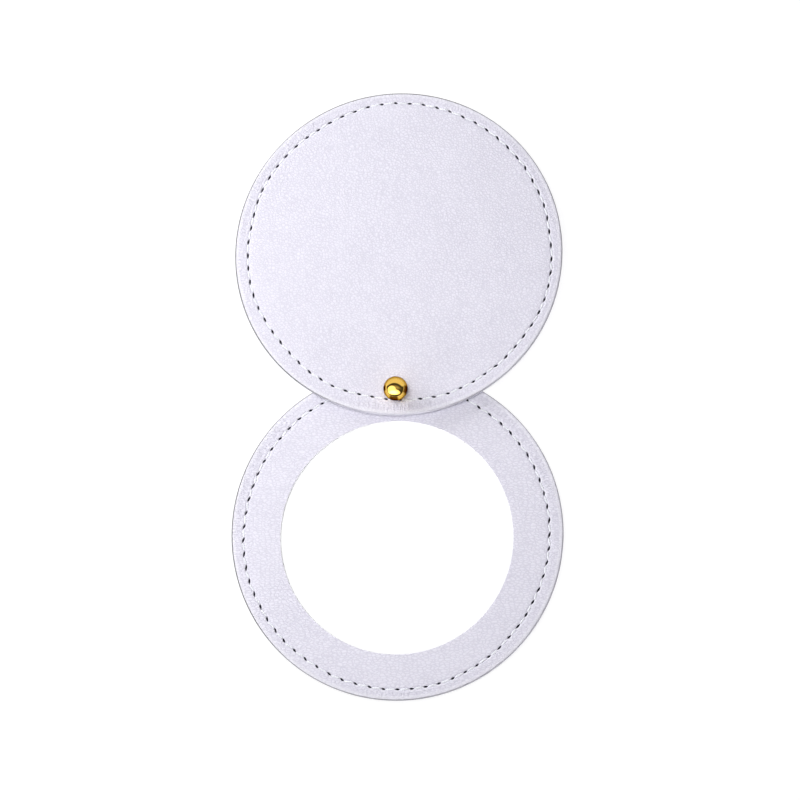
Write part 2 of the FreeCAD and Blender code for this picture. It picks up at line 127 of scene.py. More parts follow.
BULGE_AT, BULGE_WIDTH = 0.75, 0.4
MASKS = ("slit", "lip", "thread_shade", "rim", "cut", "gather")
SHARP_ANGLE = math.radians(50)


def smooth_step(low, high, x):
    """Eases from 0 to 1 as x passes from low to high."""
    share = np.clip((x - low) / (high - low), 0, 1)
    return share * share * (3 - 2 * share)


def slack(x, y):
    """Slight waviness of leather glued to a board, in millimetres."""
    broad = np.sin(0.11 * x + 0.9) * np.cos(0.13 * y + 0.4) + 0.7 * np.sin(0.17 * y - 0.07 * x)
    return 0.012 * broad + 0.006 * np.sin(0.43 * x - 0.29 * y + 1.1) * np.sin(0.21 * x + 0.37 * y)


def gathers(angle):
    """How strongly the leather is gathered between seam and rim, 0 to 1, at each angle."""
    return 0.25 + 0.75 * (0.5 + 0.5 * np.sin(3 * angle - 0.25)) ** 2


def columns_of(sewn):
    """The seam at every column of the leather's mesh, with a hole at each whole stitch."""
    share = np.tile(COLUMN_SHARES, STITCHES)
    here = np.repeat(np.arange(STITCHES), len(COLUMN_SHARES))
    onward = (here + 1) % STITCHES
    gap = np.mod(sewn["angles"][onward] - sewn["angles"][here], 2 * math.pi)
    nearest = np.where(share < 0.5, here, onward)
    radius = sewn["radii"][here] * (1 - share) + sewn["radii"][onward] * share
    return {
        "angle": sewn["angles"][here] + gap * share,
        "radius": radius,
        "along": np.where(share < 0.5, share, share - 1) * gap * radius,
        "share": share,
        "slant": sewn["slants"][nearest],
        "length": sewn["lengths"][nearest],
        "depth": sewn["depths"][nearest],
    }


def pulled_down(line, across, press_depth):
    """Height of the leather at a distance across the seam, with masks for the hole's painted shade,
    the lips' painted highlight and the painted shade beside the thread.
    """
    u = line["along"] * np.cos(line["slant"]) + across * np.sin(line["slant"])
    v = across * np.cos(line["slant"]) - line["along"] * np.sin(line["slant"])
    reach = (u / line["length"]) ** 2 + np.abs(v) / SLIT_HALF_WIDTH
    hole = 1 - smooth_step(0.65, 1.15, reach)
    lip = np.exp(-(((reach - 1.75) / 0.5) ** 2))
    thread_way = (0.5 - line["share"]) * 2 * line["length"] * np.sin(line["slant"])
    # under_thread also marks painted shade on the leather beside the thread.
    under_thread = np.exp(-(((across - thread_way) / GROOVE_WIDTH) ** 2))
    dish = np.exp(-((across / DISH_WIDTH) ** 2))
    beside = np.exp(-(((np.abs(across) - BULGE_AT) / BULGE_WIDTH) ** 2))
    bulge = np.sin(math.pi * line["share"]) ** 2 * beside
    height = (LIP_HEIGHT * lip + BULGE_HEIGHT * bulge - DISH_DEPTH * dish
              - press_depth * under_thread * (1 - hole) - SLIT_DEPTH * line["depth"] * hole)
    # Painted highlight on the lips, stronger on the outer side of the seam.
    lip_highlight = lip * np.where(across > 0, 1, 0.4)
    return height, {"slit": hole * line["depth"], "lip": lip_highlight, "thread_shade": under_thread}


def ring_strip(first, first_count, second, second_count):
    """Faces between two rings of a mesh, where one may have twice the other's points."""
    if first_count > second_count:
        return [face[::-1] for face in ring_strip(second, second_count, first, first_count)]
    faces = []
    for i in range(first_count):
        j = (i + 1) % first_count
        if first_count == second_count:
            faces.append((first + i, second + i, second + j, first + j))
        else:
            a, b, c = second + 2 * i, second + 2 * i + 1, second + (2 * i + 2) % second_count
            faces += [(first + i, a, b), (first + i, b, first + j), (first + j, b, c)]
    return faces


def mesh_piece(name, points, faces, masks):
    """A smooth-shaded object at the origin from points in millimetres."""
    mesh = bpy.data.meshes.new(name)
    mesh.from_pydata((np.asarray(points) * MM).tolist(), [], faces)
    mesh.polygons.foreach_set("use_smooth", [True] * len(mesh.polygons))
    for mask, values in masks.items():
        attribute = mesh.attributes.new(mask, "FLOAT", "POINT")
        attribute.data.foreach_set("value", np.asarray(values, np.float32))
    mesh.set_sharp_from_angle(angle=SHARP_ANGLE)
    mesh.validate()
    piece = bpy.data.objects.new(name, mesh)
    bpy.context.scene.collection.objects.link(piece)
    return piece


def sewn_leather(name, node_name, sewn, face_up, press_depth, stud_hole, window=None, sunk=0.0):
    """One leather disc as a closed mesh: its outer face, rim and glued face, and its stud hole.

    stud_hole lists (radius, depth) from the outer face inwards; window is (centre y, radius);
    sunk is how far the face lies below its highest spots."""
    low, high = (np.array(corner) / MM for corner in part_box(node_name))
    centre_y = (low[1] + high[1]) / 2
    rim_radius = (high[0] - low[0]) / 2
    face_z, glued_z = (high[2], low[2]) if face_up else (low[2], high[2])
    out = 1 if face_up else -1
    line = columns_of(sewn)
    rings = []

    def polar(radius, count):
        """A ring about the disc's centre, on every column or on some."""
        angle = line["angle"][::COLUMNS // count]
        return radius * np.cos(angle), centre_y + radius * np.sin(angle)

    def add_ring(x, y, z, **masks):
        """Adds a ring of points, with masks where they aren't 0."""
        given = (x, y, z, *(masks.get(mask, 0) for mask in MASKS))
        rings.append([np.broadcast_to(values, len(x)) for values in given])

    def add_outer(x, y, height=0, **masks):
        """Adds a ring on the outer face, at a height above it."""
        add_ring(x, y, face_z + out * (height + slack(x, y) - sunk), **masks)

    # The outer face, from its middle or its window to the seam.
    if window:
        window_y, window_radius = window
        near = (window_radius * np.cos(line["angle"]),
                window_y + window_radius * np.sin(line["angle"]))
    else:
        near = polar(CORE_RADIUS, COLUMNS)
        add_outer(*polar(np.zeros(1), 1))
        for radius, count in CORE_RINGS:
            add_outer(*polar(radius, count))
    far = polar(line["radius"] + SEAM_OFFSETS[0], COLUMNS)
    for share in WINDOW_SHARES if window else TO_SEAM_SHARES:
        x = near[0] * (1 - share) + far[0] * share
        y = near[1] * (1 - share) + far[1] * share
        rolled = max(1 - share / WINDOW_ROLL_SHARE, 0)
        cut_edge = WINDOW_ROLL_DROP * (1 - math.sqrt(1 - rolled ** 2)) if window else 0
        across = np.hypot(x, y - centre_y) - line["radius"]
        height = pulled_down(line, across, press_depth)[0] - cut_edge
        add_outer(x, y, height, cut=1 if cut_edge else 0)
    twinned = len(rings)

    # The seam, the rim and its roll.
    for offset in SEAM_OFFSETS:
        height, masks = pulled_down(line, np.full(COLUMNS, offset), press_depth)
        add_outer(*polar(line["radius"] + offset, COLUMNS), height, **masks)
    for share in TO_RIM_SHARES:
        radius = (line["radius"] + SEAM_OFFSETS[-1]) * (1 - share) + RIM_ROLL_START * share
        height = pulled_down(line, radius - line["radius"], press_depth)[0] * (1 - 0.5 * share)
        add_outer(*polar(radius, COLUMNS), height, gather=gathers(line["angle"]))
    last_height = rings[-1][2] - face_z
    for share in RIM_SHARES:
        radius = RIM_ROLL_START + (rim_radius - RIM_ROLL_START) * share
        turn = max(2 * share - 1, 0)
        drop = RIM_ROLL_DROP * (1 - math.sqrt(1 - turn ** 2))
        add_ring(*polar(radius, COLUMNS), face_z + last_height * (1 - share) - out * drop,
                 rim=share, gather=gathers(line["angle"]) * (1 - share))
    outer_count = len(rings)

    # The glued face, whose rings lie behind those within the seam.
    add_ring(*polar(rim_radius, COLUMNS), glued_z)
    for ring in rings[:twinned][::-1]:
        add_ring(ring[0], ring[1], glued_z, cut=ring[3 + MASKS.index("cut")])
    counts = [len(ring[0]) for ring in rings]
    starts = [int(start) for start in np.concatenate(([0], np.cumsum(counts)))]
    x, y, z, *marked = (np.concatenate(values) for values in zip(*rings))

    def glued_twin(index):
        """The point on the glued face behind a point of the outer face."""
        ring = int(np.searchsorted(starts, index, side="right")) - 1
        return starts[outer_count + twinned - ring] + index - starts[ring]

    faces = []
    for a in range(len(rings) - 1):
        inner, outer = (starts[a], counts[a]), (starts[a + 1], counts[a + 1])
        if counts[a] == 1:
            start, count = outer
            faces += [(starts[a], start + i, start + (i + 1) % count) for i in range(count)]
        elif counts[a + 1] == 1:
            start, count = inner
            faces += [(starts[a + 1], start + (i + 1) % count, start + i) for i in range(count)]
        else:
            faces += ring_strip(*inner, *outer)
    if window:
        faces += ring_strip(starts[len(rings) - 1], COLUMNS, 0, COLUMNS)

    # The stud's hole: faces within it go, and the points round it move to its edge.
    far_from_stud = np.hypot(x, y)
    inside = far_from_stud < stud_hole[0][0]
    kept = [face for face in faces if not all(inside[list(face)])]
    sides = dict.fromkeys(pair for face in kept for pair in zip(face, face[1:] + face[:1])
                          if all(inside[list(pair)]))
    brink = [(a, b) for a, b in sides if (b, a) not in sides]
    points = np.column_stack((x, y, z))
    for index in {point for pair in brink for point in pair}:
        radius = stud_hole[0 if index < starts[outer_count] else -1][0]
        points[index, :2] *= radius / far_from_stud[index]
    extra = []
    step_of = {}

    def step_point(index, step):
        """The point of one step of the hole's wall below a point on its edge."""
        if step == 0:
            return index
        if step == len(stud_hole) - 1:
            return glued_twin(index)
        if (index, step) not in step_of:
            radius, depth = stud_hole[step]
            flat = points[index, :2] * radius / np.hypot(*points[index, :2])
            step_of[(index, step)] = len(points) + len(extra)
            extra.append((flat[0], flat[1], face_z - out * depth))
        return step_of[(index, step)]

    for a, b in brink:
        if max(a, b) < starts[outer_count]:
            for step in range(len(stud_hole) - 1):
                kept.append((step_point(b, step), step_point(a, step),
                             step_point(a, step + 1), step_point(b, step + 1)))
    if extra:
        points = np.vstack((points, extra))
    used = np.unique(np.concatenate([np.array(face) for face in kept]))
    renumber = np.full(len(points), -1)
    renumber[used] = np.arange(len(used))
    kept = [tuple(int(renumber[i]) for i in (face if face_up else face[::-1])) for face in kept]
    padding = np.zeros(len(extra))
    masks = {mask: np.concatenate((values, padding))[used] for mask, values in zip(MASKS, marked)}
    return mesh_piece(name, points[used], kept, masks)


STUD_HOLE, HEAD_HOLE, HEAD_DEPTH = 1.8, 2.35, 0.5
LEATHER = 0.7
WINDOW_Y, WINDOW_RADIUS = -36.05, 28.7
BACK_SUNK = 0.09
plain_hole = ((STUD_HOLE, 0), (STUD_HOLE, LEATHER))
head_hole = ((HEAD_HOLE, 0), (HEAD_HOLE, HEAD_DEPTH), (STUD_HOLE, HEAD_DEPTH),
             (STUD_HOLE, LEATHER))
back_skin = sewn_leather("back_leather_skin", "back_leather", mirror_seam, False,
                         SUNK_PRESS_DEPTH, head_hole, sunk=BACK_SUNK)
front_skin = sewn_leather("front_leather_skin", "front_leather_ring", mirror_seam, True,
                          PRESS_DEPTH, plain_hole, window=(WINDOW_Y, WINDOW_RADIUS))
lining_skin = sewn_leather("cover_lining_skin", "cover_lining_leather", cover_seam, False,
                           PRESS_DEPTH, plain_hole)
face_skin = sewn_leather("cover_face_skin", "cover_face_leather", cover_seam, True,
                         PRESS_DEPTH, plain_hole)


def group_with(name, inputs, outputs):
    """An empty shader group with named sockets, its input node and its output node."""
    group = bpy.data.node_groups.new(name, "ShaderNodeTree")
    for label, kind, default in inputs:
        socket = group.interface.new_socket(label, in_out="INPUT", socket_type=kind)
        if default is not None:
            socket.default_value = default
    for label, kind in outputs:
        group.interface.new_socket(label, in_out="OUTPUT", socket_type=kind)
    return group, group.nodes.new("NodeGroupInput").outputs, group.nodes.new("NodeGroupOutput")


def node(tree, kind, inputs=None, **settings):
    """Adds a node, sets its properties, and fills its inputs with values or links."""
    made = tree.nodes.new(kind)
    for name, setting in settings.items():
        setattr(made, name, setting)
    for name, given in (inputs or {}).items():
        if isinstance(given, bpy.types.NodeSocket):
            tree.links.new(given, made.inputs[name])
        else:
            made.inputs[name].default_value = given
    return made


def sums(tree, kind, *operands):
    """One step of arithmetic on values or links."""
    return node(tree, "ShaderNodeMath", dict(enumerate(operands)), operation=kind).outputs[0]


def vectors(tree, kind, *operands, result="Vector"):
    """One step of arithmetic on vectors."""
    made = node(tree, "ShaderNodeVectorMath", dict(enumerate(operands)), operation=kind)
    return made.outputs[result]


def ramp(tree, value, start, end, first=0.0, last=1.0, kind="SMOOTHSTEP"):
    """Passes from one strength to another as a value goes between two marks."""
    marks = {"Value": value, "From Min": start, "From Max": end, "To Min": first, "To Max": last}
    return node(tree, "ShaderNodeMapRange", marks, interpolation_type=kind).outputs[0]


def noise(tree, place, scale, detail, roughness=0.5):
    """Soft random patches."""
    return node(tree, "ShaderNodeTexNoise", {"Vector": place, "Scale": scale, "Detail": detail,
                                             "Roughness": roughness}).outputs


def blend(tree, share, first, second):
    """Mixes two colours, each plain or a link, by a value from 0 to 1."""
    first, second = (given if isinstance(given, bpy.types.NodeSocket) else (*given, 1)
                     for given in (first, second))
    return node(tree, "ShaderNodeMix", {"Factor": share, 6: first, 7: second},
                data_type="RGBA").outputs[2]


# Pebbled grain: little rounded cells parted by creases, with finer pores and long soft wrinkles.
# Stretch draws the cells out along one way of the hide.
PEBBLE_WANDER = 0.0006
grain, given, grain_out = group_with(
    "pebbled_grain",
    (("Place", "NodeSocketVector", None), ("Pebbles", "NodeSocketFloat", 1500.0),
     ("Stretch", "NodeSocketVector", (1, 1, 1)), ("Wrinkles", "NodeSocketFloat", 0.3)),
    (("Height", "NodeSocketFloat"), ("Tone", "NodeSocketFloat")))
drawn = vectors(grain, "MULTIPLY", given["Place"], given["Stretch"])
wander = vectors(grain, "SUBTRACT", noise(grain, drawn, 900.0, 2.0)["Color"], (0.5, 0.5, 0.5))
wander = node(grain, "ShaderNodeVectorMath", {0: wander, "Scale": PEBBLE_WANDER}, operation="SCALE")
placed = vectors(grain, "ADD", drawn, wander.outputs[0])
cells = node(grain, "ShaderNodeTexVoronoi", {"Vector": placed, "Scale": given["Pebbles"]},
             feature="DISTANCE_TO_EDGE")
pebble = ramp(grain, cells.outputs["Distance"], 0.0, 0.22)
pores = sums(grain, "MULTIPLY", noise(grain, drawn, 3800.0, 2.0)["Fac"], 0.35)
wrinkles = sums(grain, "MULTIPLY", noise(grain, drawn, 420.0, 3.0, 0.6)["Fac"], given["Wrinkles"])
height = sums(grain, "ADD", sums(grain, "ADD", pebble, pores), wrinkles)
clouds = noise(grain, drawn, 130.0, 5.0)["Fac"]
tone = sums(grain, "MULTIPLY_ADD", clouds, 0.4, sums(grain, "MULTIPLY", pebble, 0.6))
grain.links.new(height, grain_out.inputs["Height"])
grain.links.new(tone, grain_out.inputs["Tone"])


# Rim line: painted shade, a thin grey outline on the brink of each disc that stands in for the
# shade at its edge. It is drawn wider at the left and at the top, fainter at the right and below,
# where the lamps shade the edge already, and fainter beside the stud.
OUTLINE_SHADE_GREY = (0.14, 0.137, 0.146)
rim_line, given, line_out = group_with(
    "rim_line", (("Place", "NodeSocketVector", None), ("Line", "NodeSocketFloat", 1.0)),
    (("Share", "NodeSocketFloat"),))
from_stud = vectors(rim_line, "LENGTH", given["Place"], result="Value")
side = node(rim_line, "ShaderNodeSeparateXYZ", {0: given["Place"]}).outputs
wider = sums(rim_line, "MAXIMUM", ramp(rim_line, side["X"], -0.041, -0.028, 0.06, 0.0),
             ramp(rim_line, side["Y"], 0.055, 0.076, 0.0, 0.08))
outline_share = ramp(rim_line, sums(rim_line, "ADD", given["Line"], wider), 0.9, 0.965)
for outline_fade in (ramp(rim_line, from_stud, 0.008, 0.026, 0.1, 1.0),
                   ramp(rim_line, side["X"], 0.005, 0.033, 1.0, 0.3),
                   ramp(rim_line, side["Y"], -0.076, -0.055, 0.55, 1.0)):
    outline_share = sums(rim_line, "MULTIPLY", outline_share, outline_fade)
rim_line.links.new(outline_share, line_out.inputs["Share"])


def new_finish(name, **uniform):
    """A material with its own Principled shader, whose even values are set on its sockets."""
    material = bpy.data.materials.new(name)
    material.use_nodes = True
    tree = material.node_tree
    shader = next(found for found in tree.nodes if found.type == "BSDF_PRINCIPLED")
    for socket, given in uniform.items():
        shader.inputs[socket.replace("_", " ")].default_value = given
    place = tree.nodes.new("ShaderNodeTexCoord").outputs["Object"]
    return material, tree, shader, place


# Painted light and shade on the leather: the fold colour is painted shade in the gathers and beside
# the thread, the lip and roll colours are painted highlights, the cut colour is painted light on
# the window's cut edge, and the hole colour is painted shade in the slits.
LILAC_DARK, LILAC_LIGHT = (0.70, 0.68, 0.785), (0.825, 0.807, 0.905)
FOLD_SHADE, LIP_HIGHLIGHT = (0.42, 0.40, 0.5), (0.95, 0.945, 0.985)
ROLL_HIGHLIGHT, CUT_EDGE_LIGHT = (0.94, 0.93, 0.98), (0.96, 0.955, 0.985)
# Painted shade in the stitch slits.
HOLE_SHADE = (0.012, 0.011, 0.02)
PEBBLES = 1450.0
GRAIN_HEIGHT = 0.00006
FOLD_SHADE_AMOUNT, FOLD_DEPTH = 0.24, 1.3


def lilac_leather(name, stretch, wrinkles, bump, middle):
    """The leather's finish on a disc whose centre is at y = middle, in metres."""
    material, tree, shader, place = new_finish(name, Specular_IOR_Level=0.35)
    skin = node(tree, "ShaderNodeGroup", {"Place": place, "Pebbles": PEBBLES, "Stretch": stretch,
                                          "Wrinkles": wrinkles}, node_tree=grain).outputs
    share = ramp(tree, skin["Tone"], 0.15, 0.8, kind="LINEAR")
    colour = blend(tree, share, LILAC_DARK, LILAC_LIGHT)
    # Gathers between seam and rim run outwards, so they are laid out by angle and radius.
    from_middle = vectors(tree, "SUBTRACT", place, (0, middle, 0))
    flat = node(tree, "ShaderNodeSeparateXYZ", {0: from_middle}).outputs
    turn = sums(tree, "ARCTAN2", flat["Y"], flat["X"])
    outwards = sums(tree, "MULTIPLY", vectors(tree, "LENGTH", from_middle, result="Value"), 6.0)
    round_rim = node(tree, "ShaderNodeCombineXYZ", {"X": turn, "Y": outwards}).outputs[0]
    ripple = node(tree, "ShaderNodeTexNoise", {"Vector": round_rim, "Scale": 75.0, "Detail": 1.0},
                  noise_dimensions="2D").outputs["Fac"]
    gathered = node(tree, "ShaderNodeAttribute", attribute_name="gather").outputs["Fac"]
    fold = ramp(tree, ripple, 0.35, 0.62, 1.0, 0.0, kind="LINEAR")
    fold = sums(tree, "MULTIPLY", fold, gathered)
    # Painted shade in the folds of the gathers, on top of their bump.
    colour = blend(tree, sums(tree, "MULTIPLY", fold, FOLD_SHADE_AMOUNT), colour, FOLD_SHADE)
    # Painted marks, in turn: shade beside the thread, highlights on the lips and the rolled rim,
    # light on the window's cut edge, the grey outline of shade at the brink, and shade in the
    # slits.
    for mask, start, end, most, shade in (
            ("thread_shade", 0.0, 1.0, 0.3, FOLD_SHADE), ("lip", 0.0, 1.0, 0.5, LIP_HIGHLIGHT),
            ("rim", 0.1, 0.4, 0.3, ROLL_HIGHLIGHT), ("cut", 0.0, 1.0, 0.9, CUT_EDGE_LIGHT),
            ("rim", 0.0, 1.0, 1.0, OUTLINE_SHADE_GREY), ("slit", 0.1, 0.6, 1.0, HOLE_SHADE)):
        mark = node(tree, "ShaderNodeAttribute", attribute_name=mask).outputs["Fac"]
        share = ramp(tree, mark, start, end, 0.0, most, kind="LINEAR")
        if shade is OUTLINE_SHADE_GREY:
            share = node(tree, "ShaderNodeGroup", {"Place": place, "Line": share},
                         node_tree=rim_line).outputs["Share"]
        colour = blend(tree, share, colour, shade)
    tree.links.new(colour, shader.inputs["Base Color"])
    rough = ramp(tree, skin["Height"], 0.0, 1.4, 0.62, 0.48, kind="LINEAR")
    tree.links.new(rough, shader.inputs["Roughness"])
    raised = sums(tree, "MULTIPLY_ADD", fold, -FOLD_DEPTH, skin["Height"])
    relief = node(tree, "ShaderNodeBump", {"Height": raised, "Strength": bump,
                                           "Distance": GRAIN_HEIGHT})
    tree.links.new(relief.outputs[0], shader.inputs["Normal"])
    return material


DISC_Y = 0.035
cover_lilac = lilac_leather("lilac_leather", (0.9, 1.1, 1), 0.35, 0.82, DISC_Y)
mirror_lilac = lilac_leather("lilac_leather_wrinkled", (0.62, 1.2, 1), 0.6, 0.72, -DISC_Y)
back_lilac = lilac_leather("lilac_leather_back", (0.9, 1.1, 1), 0.35, 0.82, -DISC_Y)
for piece, node_name, body, material in (
        (back_skin, "back_leather", "mirror_half", back_lilac),
        (front_skin, "front_leather_ring", "mirror_half", mirror_lilac),
        (lining_skin, "cover_lining_leather", "cover_half", cover_lilac),
        (face_skin, "cover_face_leather", "cover_half", cover_lilac)):
    piece.data.materials.append(material)
    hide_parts(node_name)
    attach(piece, body)


# Boards and tape: grey pressed-fibre stiffeners between the leathers, and a film of double-sided
# tape that holds the glass. They are glued in the stack and only their cut edges could ever show.
mottle, given, mottle_out = group_with(
    "mottling",
    (("Place", "NodeSocketVector", None), ("Scale", "NodeSocketFloat", 300.0),
     ("Low", "NodeSocketFloat", 0.3), ("High", "NodeSocketFloat", 0.5)),
    (("Value", "NodeSocketFloat"), ("Share", "NodeSocketFloat")))
patches = noise(mottle, given["Place"], given["Scale"], 5.0, 0.6)["Fac"]
patch_share = ramp(mottle, patches, 0.3, 0.7, kind="LINEAR")
patch_value = ramp(mottle, patch_share, 0.0, 1.0, given["Low"], given["High"], kind="LINEAR")
mottle.links.new(patch_value, mottle_out.inputs["Value"])
mottle.links.new(patch_share, mottle_out.inputs["Share"])
PATCH_BUMP = 0.15


def mottled(tree, place, scale, low, high):
    """Soft patches as a share from 0 to 1, and as a value from low to high."""
    return node(tree, "ShaderNodeGroup", {"Place": place, "Scale": scale, "Low": low,
                                          "High": high}, node_tree=mottle).outputs


def mottled_finish(name, scale, roughness, dark, light, relief=None, line=None, **uniform):
    """A finish whose colour and roughness vary in soft patches.

    relief is the patches' height in metres; line names the mask of painted shade drawn on it."""
    material, tree, shader, place = new_finish(name, **uniform)
    patches = mottled(tree, place, scale, *roughness)
    colour = blend(tree, patches["Share"], dark, light)
    if line:
        mark = node(tree, "ShaderNodeAttribute", attribute_name=line).outputs["Fac"]
        share = node(tree, "ShaderNodeGroup", {"Place": place, "Line": mark},
                     node_tree=rim_line).outputs["Share"]
        colour = blend(tree, share, colour, OUTLINE_SHADE_GREY)
    tree.links.new(colour, shader.inputs["Base Color"])
    tree.links.new(patches["Value"], shader.inputs["Roughness"])
    if relief:
        raised = node(tree, "ShaderNodeBump", {"Height": patches["Share"], "Strength": PATCH_BUMP,
                                               "Distance": relief})
        tree.links.new(raised.outputs[0], shader.inputs["Normal"])
    return material


def dress(node_name, material):
    """Gives a CAD node, which keeps its shape, its own material."""
    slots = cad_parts[node_name].data.materials
    slots.clear()
    slots.append(material)


board = mottled_finish("pressed_board", 1600.0, (0.78, 0.92), (0.10, 0.098, 0.094),
                       (0.19, 0.185, 0.18))
tape = mottled_finish("tape_film", 500.0, (0.3, 0.45), (0.62, 0.62, 0.57), (0.72, 0.72, 0.67))
for node_name in ("back_board", "mirror_spacer_ring", "cover_board"):
    dress(node_name, board)
dress("mirror_tape", tape)


# Mirror: a disc of silvered float glass with a ground edge. It is stuck down by the tape, sits in
# the spacer, and its edge lies under the window's rim.
glass, tree, shader, place = new_finish("silvered_glass", Metallic=1.0, Roughness=0.0)
haze = mottled(tree, place, 90.0, 0.0, 1.0)["Share"]
tree.links.new(blend(tree, haze, (0.955, 0.962, 0.965), (0.975, 0.978, 0.98)),
               shader.inputs["Base Color"])
dress("mirror_glass", glass)


# Edge paint: pale lilac paint brushed over the cut edges of each half's layers, rounded and a
# little wavy. Its brinks, against the leathers, carry the grey outline of painted shade.
COAT, COAT_TUCK = 0.2, 0.05
COAT_STOPS_SHORT = 0.1
COAT_WAVE, WAVE_ROOM = 0.004, 0.008
COAT_SPOKES, COAT_STEPS = 552, 7


def turned(name, profile, centre, spokes, wave=0.0, masks=None):
    """Revolves a profile of (radius, height) about an upright axis; a zero radius is a pole.

    masks gives values for the profile's points."""
    angle = np.arange(spokes) * 2 * math.pi / spokes
    points, rows = [], []
    for number, (radius, z) in enumerate(profile):
        rows.append(len(points))
        if radius == 0:
            points.append((centre[0], centre[1], z))
            continue
        ripple = radius + wave * (np.sin(7 * angle + 0.3) + 0.6 * np.sin(17 * angle + number))
        points += list(zip(centre[0] + ripple * np.cos(angle), centre[1] + ripple * np.sin(angle),
                           np.full(spokes, z)))
    closed = profile[0][0] > 0
    faces = []
    for number in range(len(profile) if closed else len(profile) - 1):
        following = (number + 1) % len(profile)
        a, b = rows[number], rows[following]
        for i in range(spokes):
            j = (i + 1) % spokes
            if profile[number][0] == 0:
                faces.append((a, b + j, b + i))
            elif profile[following][0] == 0:
                faces.append((a + i, a + j, b))
            else:
                faces.append((a + i, a + j, b + j, b + i))
    spread_masks = {mask: np.repeat(values, spokes) for mask, values in (masks or {}).items()}
    return mesh_piece(name, points, faces, spread_masks)


def arc(centre, radius, first, last, steps):
    """Points of a circular arc in a profile, its angles in degrees."""
    return [(centre[0] + radius * math.cos(angle), centre[1] + radius * math.sin(angle))
            for angle in np.radians(np.linspace(first, last, steps))]


paint = mottled_finish("edge_paint", 260.0, (0.4, 0.58), (0.68, 0.665, 0.75), (0.76, 0.745, 0.83),
                       relief=0.00005, line="brink", Specular_IOR_Level=0.4)
for node_name, body in (("mirror_edge_coat", "mirror_half"), ("cover_edge_coat", "cover_half")):
    low, high = (np.array(corner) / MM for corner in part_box(node_name))
    bottom, top = low[2] + COAT_STOPS_SHORT, high[2] - COAT_STOPS_SHORT
    thin = (high[0] - low[0]) / 2 - WAVE_ROOM - COAT
    profile = [*arc((thin, bottom + COAT), COAT, -90, 0, COAT_STEPS),
               *arc((thin, top - COAT), COAT, 0, 90, COAT_STEPS),
               (thin - COAT_TUCK, top), (thin - COAT_TUCK, bottom)]
    # The grey outline of painted shade goes on the rounded brinks, not on the wall.
    rounded, wall = [1] * (COAT_STEPS - 1), [0, 0]
    coat = turned(f"{node_name}_paint", profile, (0, (low[1] + high[1]) / 2), COAT_SPOKES,
                  COAT_WAVE, {"brink": rounded + wall + rounded + [1, 1]})
    coat.data.materials.append(paint)
    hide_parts(node_name)
    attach(coat, body)


# Stitches: white two-ply thread, lockstitched through every hole. A stitch lies pressed into the
# leather from the far end of one slit to the near end of the next, and dives into both.
THREAD_RADIUS = 0.2
PLIES = (0.0, math.pi)
STITCH_LENGTH = 0.0027
STITCH_POINTS, PLY_SIDES = 11, 5
PLY_OFFSET, PLY_RADIUS = 0.46, 0.62
LEAST_FULL, MOST_FULL = 1.3, 1.55

stitches = bpy.data.node_groups.new("sewn_stitches", "GeometryNodeTree")
for label, kind, default in (
        ("Geometry", "NodeSocketGeometry", None),
        ("Stitch Length", "NodeSocketFloat", STITCH_LENGTH),
        ("Thread Radius", "NodeSocketFloat", THREAD_RADIUS * MM),
        ("Twists", "NodeSocketFloat", 2.2),
        ("Dip", "NodeSocketFloat", 0.0004), ("Side", "NodeSocketFloat", 1.0),
        ("Seed", "NodeSocketInt", 5), ("Thread", "NodeSocketMaterial", None)):
    socket = stitches.interface.new_socket(label, in_out="INPUT", socket_type=kind)
    if default is not None:
        socket.default_value = default
stitches.interface.new_socket("Geometry", in_out="OUTPUT", socket_type="NodeSocketGeometry")
given = stitches.nodes.new("NodeGroupInput").outputs
result = stitches.nodes.new("NodeGroupOutput")


def stitch_sum(kind, *operands):
    """One step of arithmetic in the stitches' tree."""
    return sums(stitches, kind, *operands)


def stitch_node(kind, inputs, **settings):
    """The first result of a node in the stitches' tree."""
    return node(stitches, kind, inputs, **settings).outputs[0]


half = stitch_sum("MULTIPLY", given["Stitch Length"], 0.5)
run = stitch_node("GeometryNodeCurvePrimitiveLine", {
    "Start": stitch_node("ShaderNodeCombineXYZ", {"X": stitch_sum("MULTIPLY", half, -1.0)}),
    "End": stitch_node("ShaderNodeCombineXYZ", {"X": half})})
run = stitch_node("GeometryNodeResampleCurve", {"Curve": run, "Count": STITCH_POINTS})
share = node(stitches, "GeometryNodeSplineParameter").outputs["Factor"]
from_middle = stitch_sum("ABSOLUTE", stitch_sum("MULTIPLY_ADD", share, 2.0, -1.0))
dive = stitch_sum("MULTIPLY", stitch_sum("POWER", from_middle, 7.0), given["Dip"])
ply_offset = stitch_sum("MULTIPLY", given["Thread Radius"], PLY_OFFSET)
ply_circle = stitch_node("GeometryNodeCurvePrimitiveCircle", {
    "Resolution": PLY_SIDES, "Radius": stitch_sum("MULTIPLY", given["Thread Radius"], PLY_RADIUS)})
strand = node(stitches, "GeometryNodeJoinGeometry")
for phase in PLIES:
    turns = stitch_sum("MULTIPLY", share, given["Twists"])
    twist = stitch_sum("MULTIPLY_ADD", turns, 2 * math.pi, phase)
    sideways = stitch_sum("MULTIPLY", stitch_sum("COSINE", twist), ply_offset)
    upward = stitch_sum("MULTIPLY", stitch_sum("SINE", twist), ply_offset)
    upward = stitch_sum("SUBTRACT", upward, dive)
    upward = stitch_sum("MULTIPLY", upward, given["Side"])
    offset = stitch_node("ShaderNodeCombineXYZ", {"Y": sideways, "Z": upward})
    ply = stitch_node("GeometryNodeSetPosition", {"Geometry": run, "Offset": offset})
    tube = stitch_node("GeometryNodeCurveToMesh", {
        "Curve": ply, "Profile Curve": ply_circle, "Fill Caps": True})
    stitches.links.new(tube, strand.inputs[0])
way = stitch_node("GeometryNodeInputNamedAttribute", {"Name": "way"}, data_type="FLOAT_VECTOR")
